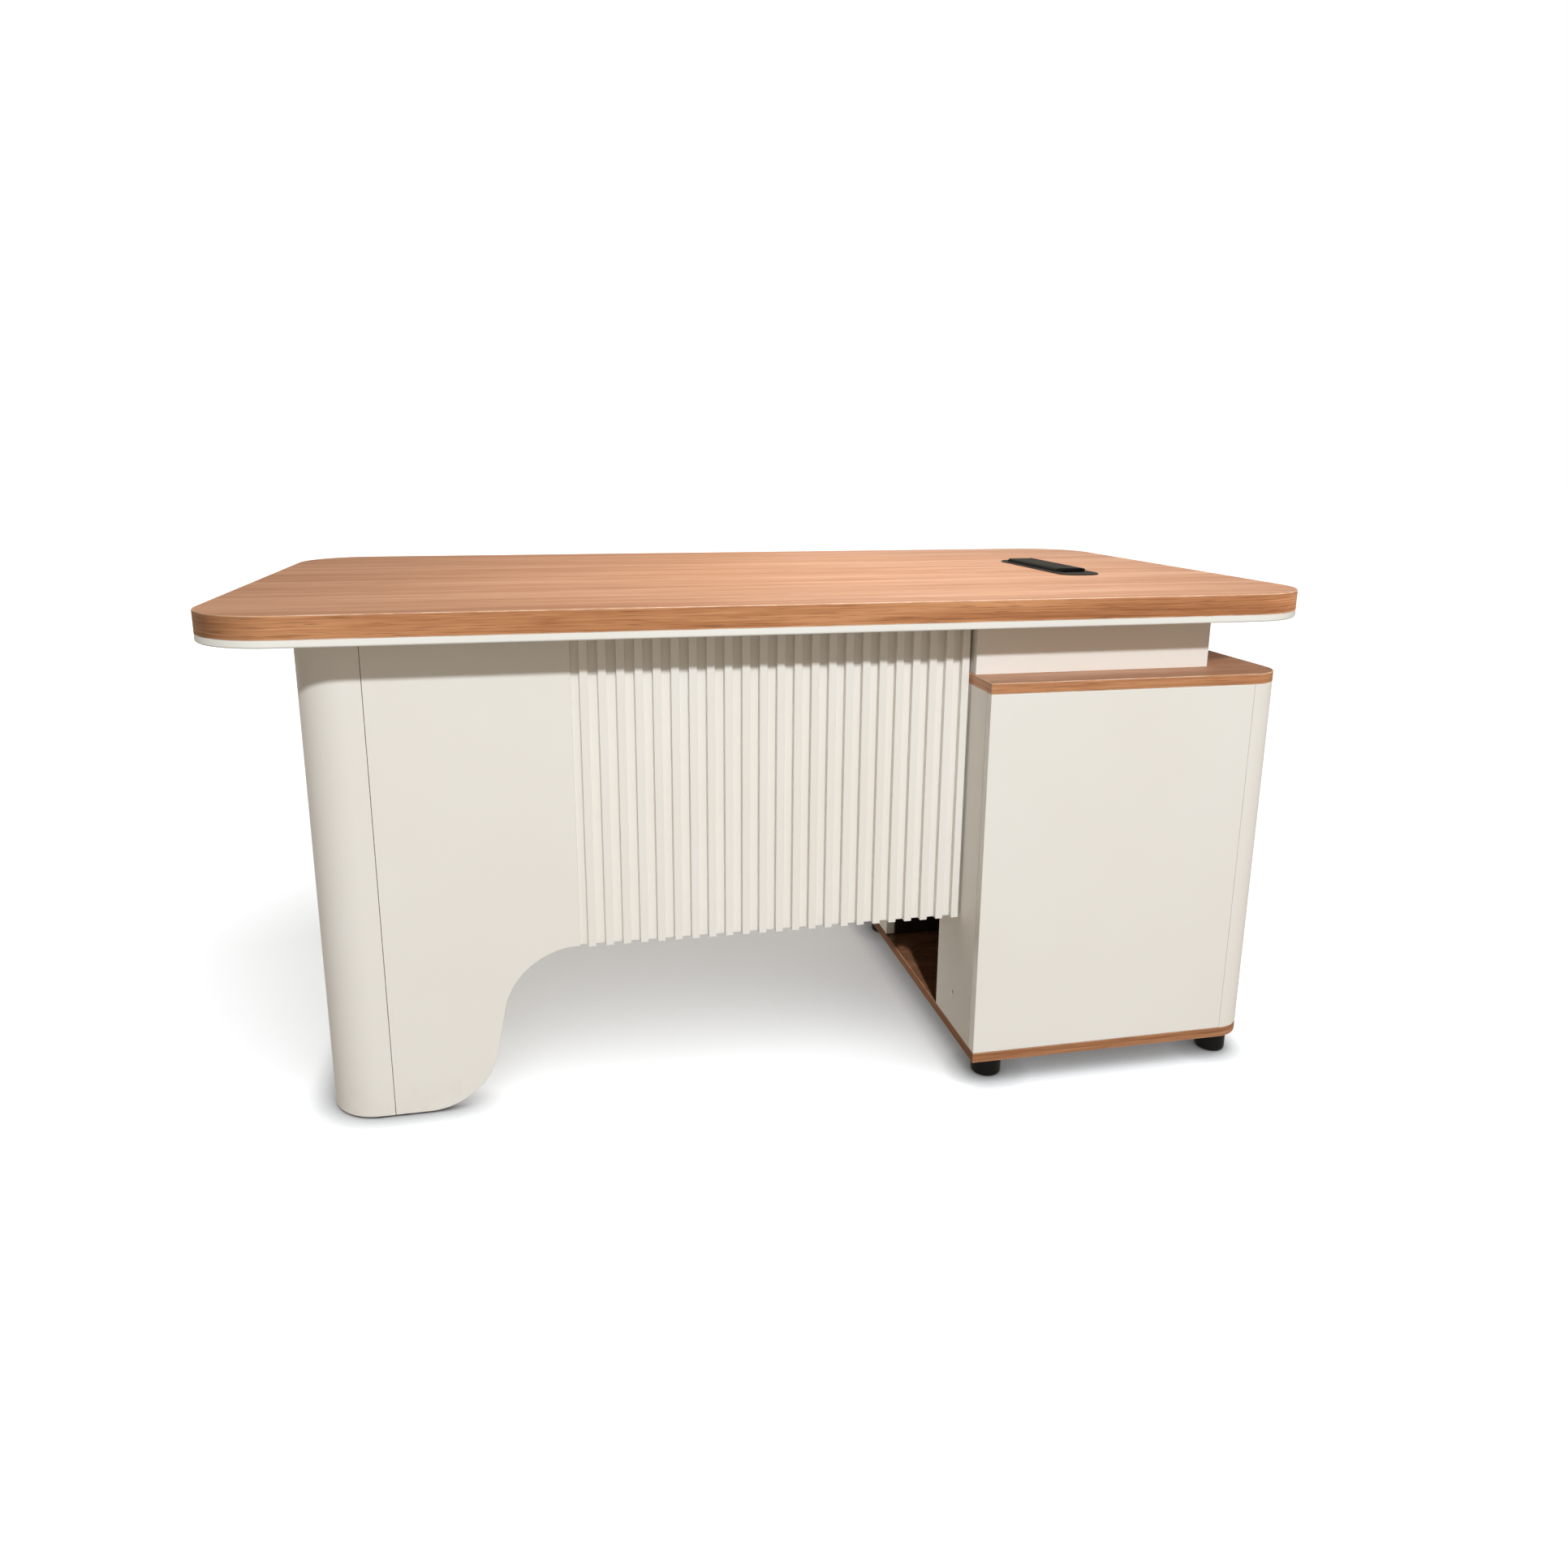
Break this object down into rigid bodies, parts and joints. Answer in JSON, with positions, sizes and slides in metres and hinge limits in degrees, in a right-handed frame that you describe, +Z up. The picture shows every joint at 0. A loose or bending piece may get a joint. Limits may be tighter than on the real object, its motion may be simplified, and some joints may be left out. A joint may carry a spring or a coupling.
{
  "type": "desk",
  "caption": "Office desk with a round-cornered wood top, a curved panel leg with an S-cut foot, a fixed slatted modesty panel, a side cabinet and a cable box.",
  "frame": {"origin": "on the floor, under the middle of the desk's overall box", "axes": "+X along the desktop towards the cabinet end, -Y towards the visitor, +Y towards the sitter, +Z up"},
  "size_m": [1.545, 1.1814, 0.7568],
  "materials": {
    "walnut_laminate": "satin wood-grain laminate",
    "dark_walnut": "matt dark wood-grain laminate",
    "cream_laminate": "matt cream laminate",
    "white_board": "satin white laminate",
    "drawer_board": "matt light grey board",
    "black_plastic": "moulded black",
    "charcoal_plastic": "moulded satin charcoal",
    "zinc_steel": "zinc plated"
  },
  "bodies": {
    "desk": {"desktop_board": "walnut_laminate", "desktop_underlay": "white_board", "leg_corner_post": "cream_laminate", "leg_front_panel": "cream_laminate", "leg_side_panel": "cream_laminate", "leg_glides": "black_plastic", "modesty_backing_board": "cream_laminate", "tambour_slats": "cream_laminate", "modesty_top_batten": "cream_laminate", "angle_brackets": "zinc_steel", "cabinet_bottom_board": "walnut_laminate", "cabinet_top_board": "walnut_laminate", "cabinet_front_panel": "cream_laminate", "cabinet_corner_post": "cream_laminate", "cabinet_outer_panel": "cream_laminate", "cabinet_rear_panel": "cream_laminate", "cabinet_filler_panel": "cream_laminate", "niche_front_partition": "dark_walnut", "niche_rear_partition": "dark_walnut", "bay_divider": "dark_walnut", "cabinet_feet": "black_plastic", "drawer_runner_channels": "zinc_steel", "door_pivots": "zinc_steel", "door_shelf": "dark_walnut", "shelf_pegs": "zinc_steel", "riser_front_panel": "cream_laminate", "riser_inner_panel": "cream_laminate", "riser_outer_panel": "cream_laminate", "cable_box_frame": "charcoal_plastic", "cable_lid_pins": "zinc_steel"},
    "drawer_1": {"drawer_1_front": "cream_laminate", "drawer_1_sides": "drawer_board", "drawer_1_back": "drawer_board", "drawer_1_base": "drawer_board", "drawer_1_runner_bars": "zinc_steel"},
    "drawer_2": {"drawer_2_front": "cream_laminate", "drawer_2_sides": "drawer_board", "drawer_2_back": "drawer_board", "drawer_2_base": "drawer_board", "drawer_2_runner_bars": "zinc_steel"},
    "drawer_3": {"drawer_3_front": "cream_laminate", "drawer_3_sides": "drawer_board", "drawer_3_back": "drawer_board", "drawer_3_base": "drawer_board", "drawer_3_runner_bars": "zinc_steel"},
    "door": {"cabinet_door": "cream_laminate"},
    "cable_lid": {"cable_lid": "charcoal_plastic"}
  },
  "joints": [
    {"name": "drawer_1_slide", "type": "slide", "parent": "desk", "child": "drawer_1", "axis": [-1, 0, 0], "range_m": [0, 0.3]},
    {"name": "drawer_2_slide", "type": "slide", "parent": "desk", "child": "drawer_2", "axis": [-1, 0, 0], "range_m": [0, 0.3]},
    {"name": "drawer_3_slide", "type": "slide", "parent": "desk", "child": "drawer_3", "axis": [-1, 0, 0], "range_m": [0, 0.3]},
    {"name": "door_hinge", "type": "hinge", "parent": "desk", "child": "door", "pos_m": [0.2805, 0.55975, 0.3], "axis": [0, 0, -1], "range_deg": [0, 100]},
    {"name": "cable_lid_hinge", "type": "hinge", "parent": "desk", "child": "cable_lid", "pos_m": [0.55725, -0.15425, 0.75455], "axis": [0, 1, 0], "range_deg": [0, 100]}
  ]
}
